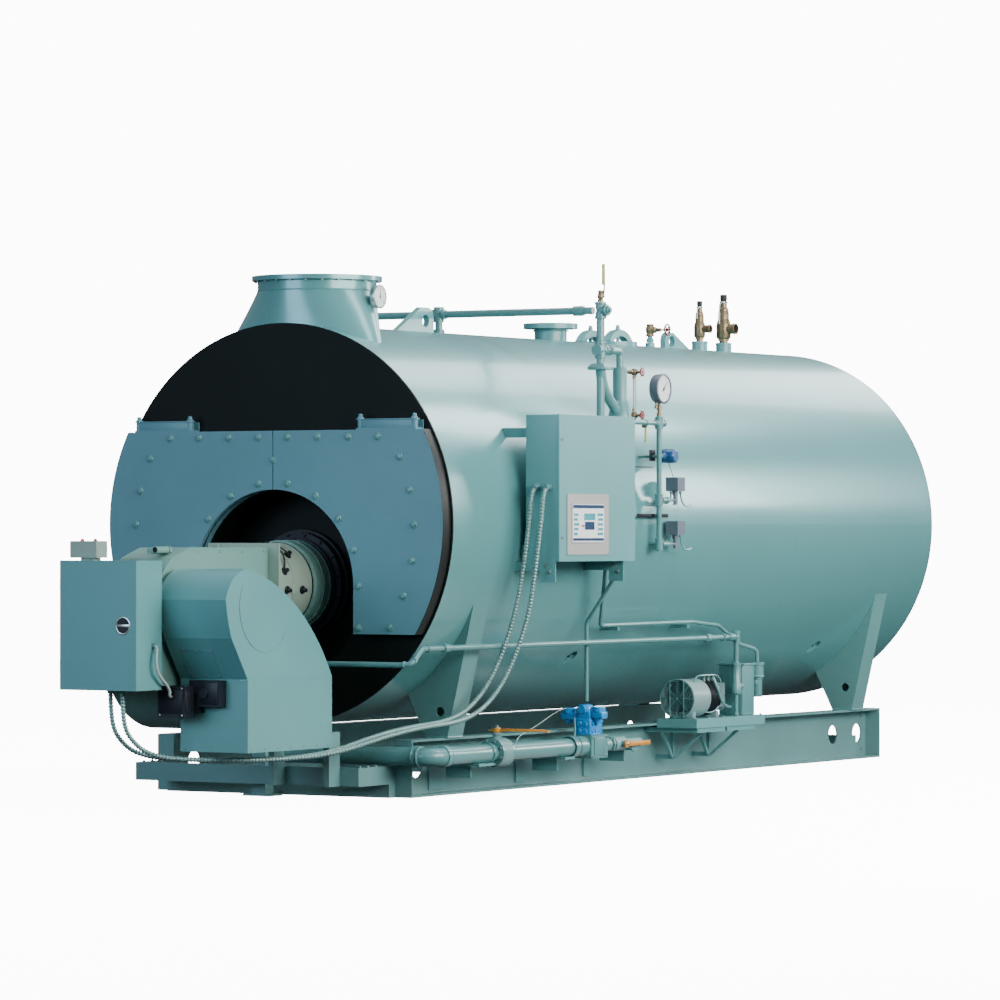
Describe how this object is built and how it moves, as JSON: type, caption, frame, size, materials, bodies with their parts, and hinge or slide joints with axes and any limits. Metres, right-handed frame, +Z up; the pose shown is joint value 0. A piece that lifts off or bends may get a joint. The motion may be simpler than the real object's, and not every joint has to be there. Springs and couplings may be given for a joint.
{
  "type": "industrial boiler",
  "caption": "Packaged horizontal fire-tube boiler on a channel skid, with forced-draught burner, control cabinets, water column, relief valves, gas train and air compressor.",
  "frame": {"origin": "on the floor under the drum's centre line, in the plane of the black front head", "axes": "+Y from the burner end to the rear head, +X to the control cabinet side, +Z up"},
  "size_m": [2.8499, 8.618, 3.351],
  "materials": {
    "turquoise_paint": "satin enamel",
    "boiler_plate": "mill plate",
    "black_enamel": "semi-matte enamel",
    "cream_paint": "satin enamel",
    "dark_steel": "semi-matte",
    "bronze": "cast, satin",
    "instrument_steel": "satin",
    "instrument_case": "satin",
    "clear_glass": "clear",
    "blue_plastic": "gloss",
    "panel_plastic": "matte bezel",
    "cast_valve": "painted casting",
    "orange_lever": "gloss enamel",
    "compressor_paint": "satin",
    "galvanised_pipe": "satin over zinc",
    "conduit_sleeve": "ribbed sleeve"
  },
  "bodies": {
    "base": {"lagging_jacket": "turquoise_paint", "pressure_shell": "boiler_plate", "front_head": "black_enamel", "rear_head": "turquoise_paint", "rear_door": "turquoise_paint", "hand_hole_covers": "black_enamel", "front_door_right": "turquoise_paint", "front_door_left": "turquoise_paint", "door_brackets": "turquoise_paint", "stack_outlet": "turquoise_paint", "stack_thermometer": "instrument_steel", "lifting_lugs": "turquoise_paint", "steam_nozzle": "turquoise_paint", "manway_ring": "turquoise_paint", "manway_cover": "turquoise_paint", "manway_yokes": "turquoise_paint", "relief_valve_couplings": "turquoise_paint", "relief_valves": "bronze", "vent_valve": "bronze", "skid_beam_right": "turquoise_paint", "skid_beam_left": "turquoise_paint", "skid_cross_members": "turquoise_paint", "front_frame": "turquoise_paint", "burner_stand": "turquoise_paint", "saddles": "turquoise_paint", "fan_housing": "turquoise_paint", "fan_motor": "turquoise_paint", "burner_drum": "cream_paint", "burner_mounting_flange": "dark_steel", "air_inlet_box": "turquoise_paint", "damper_actuator": "dark_steel", "burner_cabinet": "turquoise_paint", "signal_boxes": "instrument_case", "main_cabinet": "turquoise_paint", "cabinet_brackets": "turquoise_paint", "header_pipe": "turquoise_paint", "water_column": "turquoise_paint", "auxiliary_column": "turquoise_paint", "bleed_valve": "bronze", "gauge_glass": "instrument_steel", "gauge_piping": "instrument_steel", "pressure_gauge": "instrument_case", "level_transmitter": "blue_plastic", "pressure_controls": "instrument_case", "gas_pipe": "turquoise_paint", "butterfly_valve": "cast_valve", "gas_valve_actuators": "blue_plastic", "gas_ball_valve": "cast_valve", "gas_pipe_supports": "turquoise_paint", "compressor_shelf": "turquoise_paint", "compressor_motor": "compressor_paint", "air_tank_and_filters": "compressor_paint", "air_pipe": "galvanised_pipe", "rigid_conduits": "galvanised_pipe", "flexible_conduits": "conduit_sleeve"},
    "panel_door": {"main_cabinet_door": "turquoise_paint", "touch_panel": "panel_plastic"},
    "burner_door": {"burner_cabinet_door": "turquoise_paint"},
    "throttle_lever": {"butterfly_lever": "orange_lever"},
    "shutoff_lever": {"gas_ball_valve_lever": "orange_lever"}
  },
  "joints": [
    {"name": "panel_door_hinge", "type": "hinge", "parent": "base", "child": "panel_door", "pos_m": [1.52, 1.752, 1.9], "axis": [0, 0, 1], "range_deg": [0, 110]},
    {"name": "burner_door_hinge", "type": "hinge", "parent": "base", "child": "burner_door", "pos_m": [-0.292, -1.911, 1.08], "axis": [0, 0, -1], "range_deg": [0, 110]},
    {"name": "throttle_lever_turn", "type": "hinge", "parent": "base", "child": "throttle_lever", "pos_m": [1.15, 0.69, 0.39], "axis": [0, 0, 1], "range_deg": [0, 90]},
    {"name": "shutoff_lever_turn", "type": "hinge", "parent": "base", "child": "shutoff_lever", "pos_m": [1.2, 2.19, 0.258], "axis": [1, 0, 0], "range_deg": [0, 90]}
  ]
}
